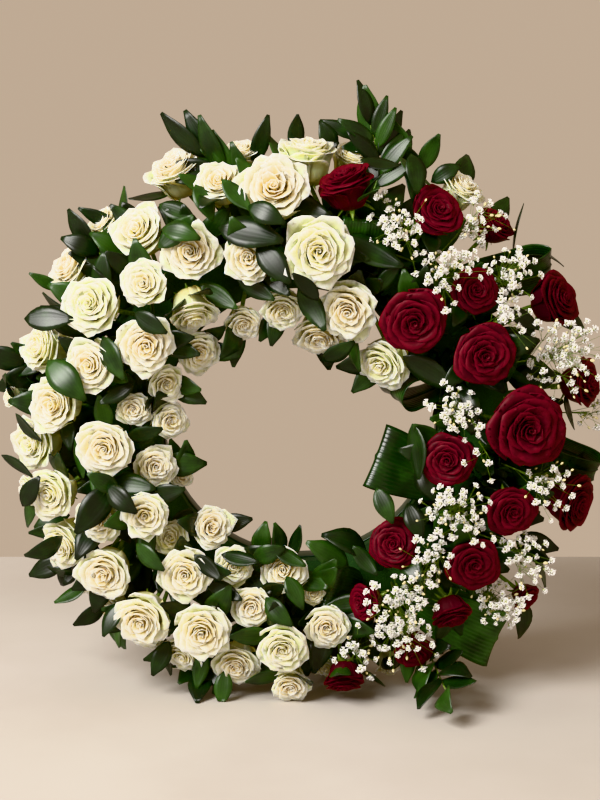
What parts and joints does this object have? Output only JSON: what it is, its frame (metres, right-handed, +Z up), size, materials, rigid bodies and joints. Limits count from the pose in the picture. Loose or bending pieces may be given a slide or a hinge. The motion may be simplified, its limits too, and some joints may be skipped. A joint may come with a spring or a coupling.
{
  "type": "funeral wreath",
  "caption": "Standing funeral wreath: white and red roses, broad folded leaves, leafy sprigs and gypsophila pushed into a wet foam ring in a tray on a low steel stand.",
  "frame": {"origin": "middle of the whole at floor level: the bottom centre of its box", "axes": "+Z up, the flowers face -Y, +X to the right as seen from the front"},
  "size_m": [0.7472, 0.334, 0.7188],
  "materials": {
    "white_rose": "soft satin petals, creamy white with a warm yellow heart and green outer guard petals",
    "red_rose": "velvety deep crimson petals with darker edges",
    "aspidistra_leaf": "glossy deep green leaf with fine lengthwise ribs",
    "broom_leaf": "waxy mid to dark green leaf",
    "gypsophila": "matt white double flowers on thin green stems",
    "tray": "moulded dark green plastic",
    "foam": "wet fine-celled green floral foam",
    "stand": "black powder coat"
  },
  "bodies": {
    "root": {"white_roses_01": "white_rose", "white_roses_02": "white_rose", "white_roses_03": "white_rose", "white_roses_04": "white_rose", "white_roses_05": "white_rose", "white_roses_06": "white_rose", "white_roses_07": "white_rose", "white_roses_08": "white_rose", "white_roses_09": "white_rose", "white_roses_10": "white_rose", "white_roses_11": "white_rose", "white_roses_12": "white_rose", "white_roses_13": "white_rose", "white_roses_14": "white_rose", "white_roses_15": "white_rose", "white_roses_16": "white_rose", "white_roses_17": "white_rose", "red_roses_01": "red_rose", "red_roses_02": "red_rose", "red_roses_03": "red_rose", "red_roses_04": "red_rose", "red_roses_05": "red_rose", "red_roses_06": "red_rose", "red_roses_07": "red_rose", "red_roses_08": "red_rose", "red_roses_09": "red_rose", "red_roses_10": "red_rose", "red_roses_11": "red_rose", "red_roses_12": "red_rose", "red_roses_13": "red_rose", "red_roses_14": "red_rose", "red_roses_15": "red_rose", "red_roses_16": "red_rose", "red_roses_17": "red_rose", "red_roses_18": "red_rose", "red_roses_19": "red_rose", "aspidistra_inner_upper": "aspidistra_leaf", "aspidistra_inner_lower": "aspidistra_leaf", "aspidistra_bottom": "aspidistra_leaf", "aspidistra_lower_right": "aspidistra_leaf", "aspidistra_upper_right": "aspidistra_leaf", "aspidistra_right": "aspidistra_leaf", "aspidistra_top": "aspidistra_leaf", "broom_top_right": "broom_leaf", "broom_top_left": "broom_leaf", "broom_left_top": "broom_leaf", "broom_left": "broom_leaf", "broom_lower_left": "broom_leaf", "broom_lower_front": "broom_leaf", "broom_trailing": "broom_leaf", "gypsophila_01": "gypsophila", "gypsophila_02": "gypsophila", "gypsophila_03": "gypsophila", "gypsophila_04": "gypsophila", "gypsophila_05": "gypsophila", "tray_ring": "tray", "foam_ring": "foam", "left_foot": "stand", "right_foot": "stand", "cross_bar": "stand"}
  },
  "joints": []
}
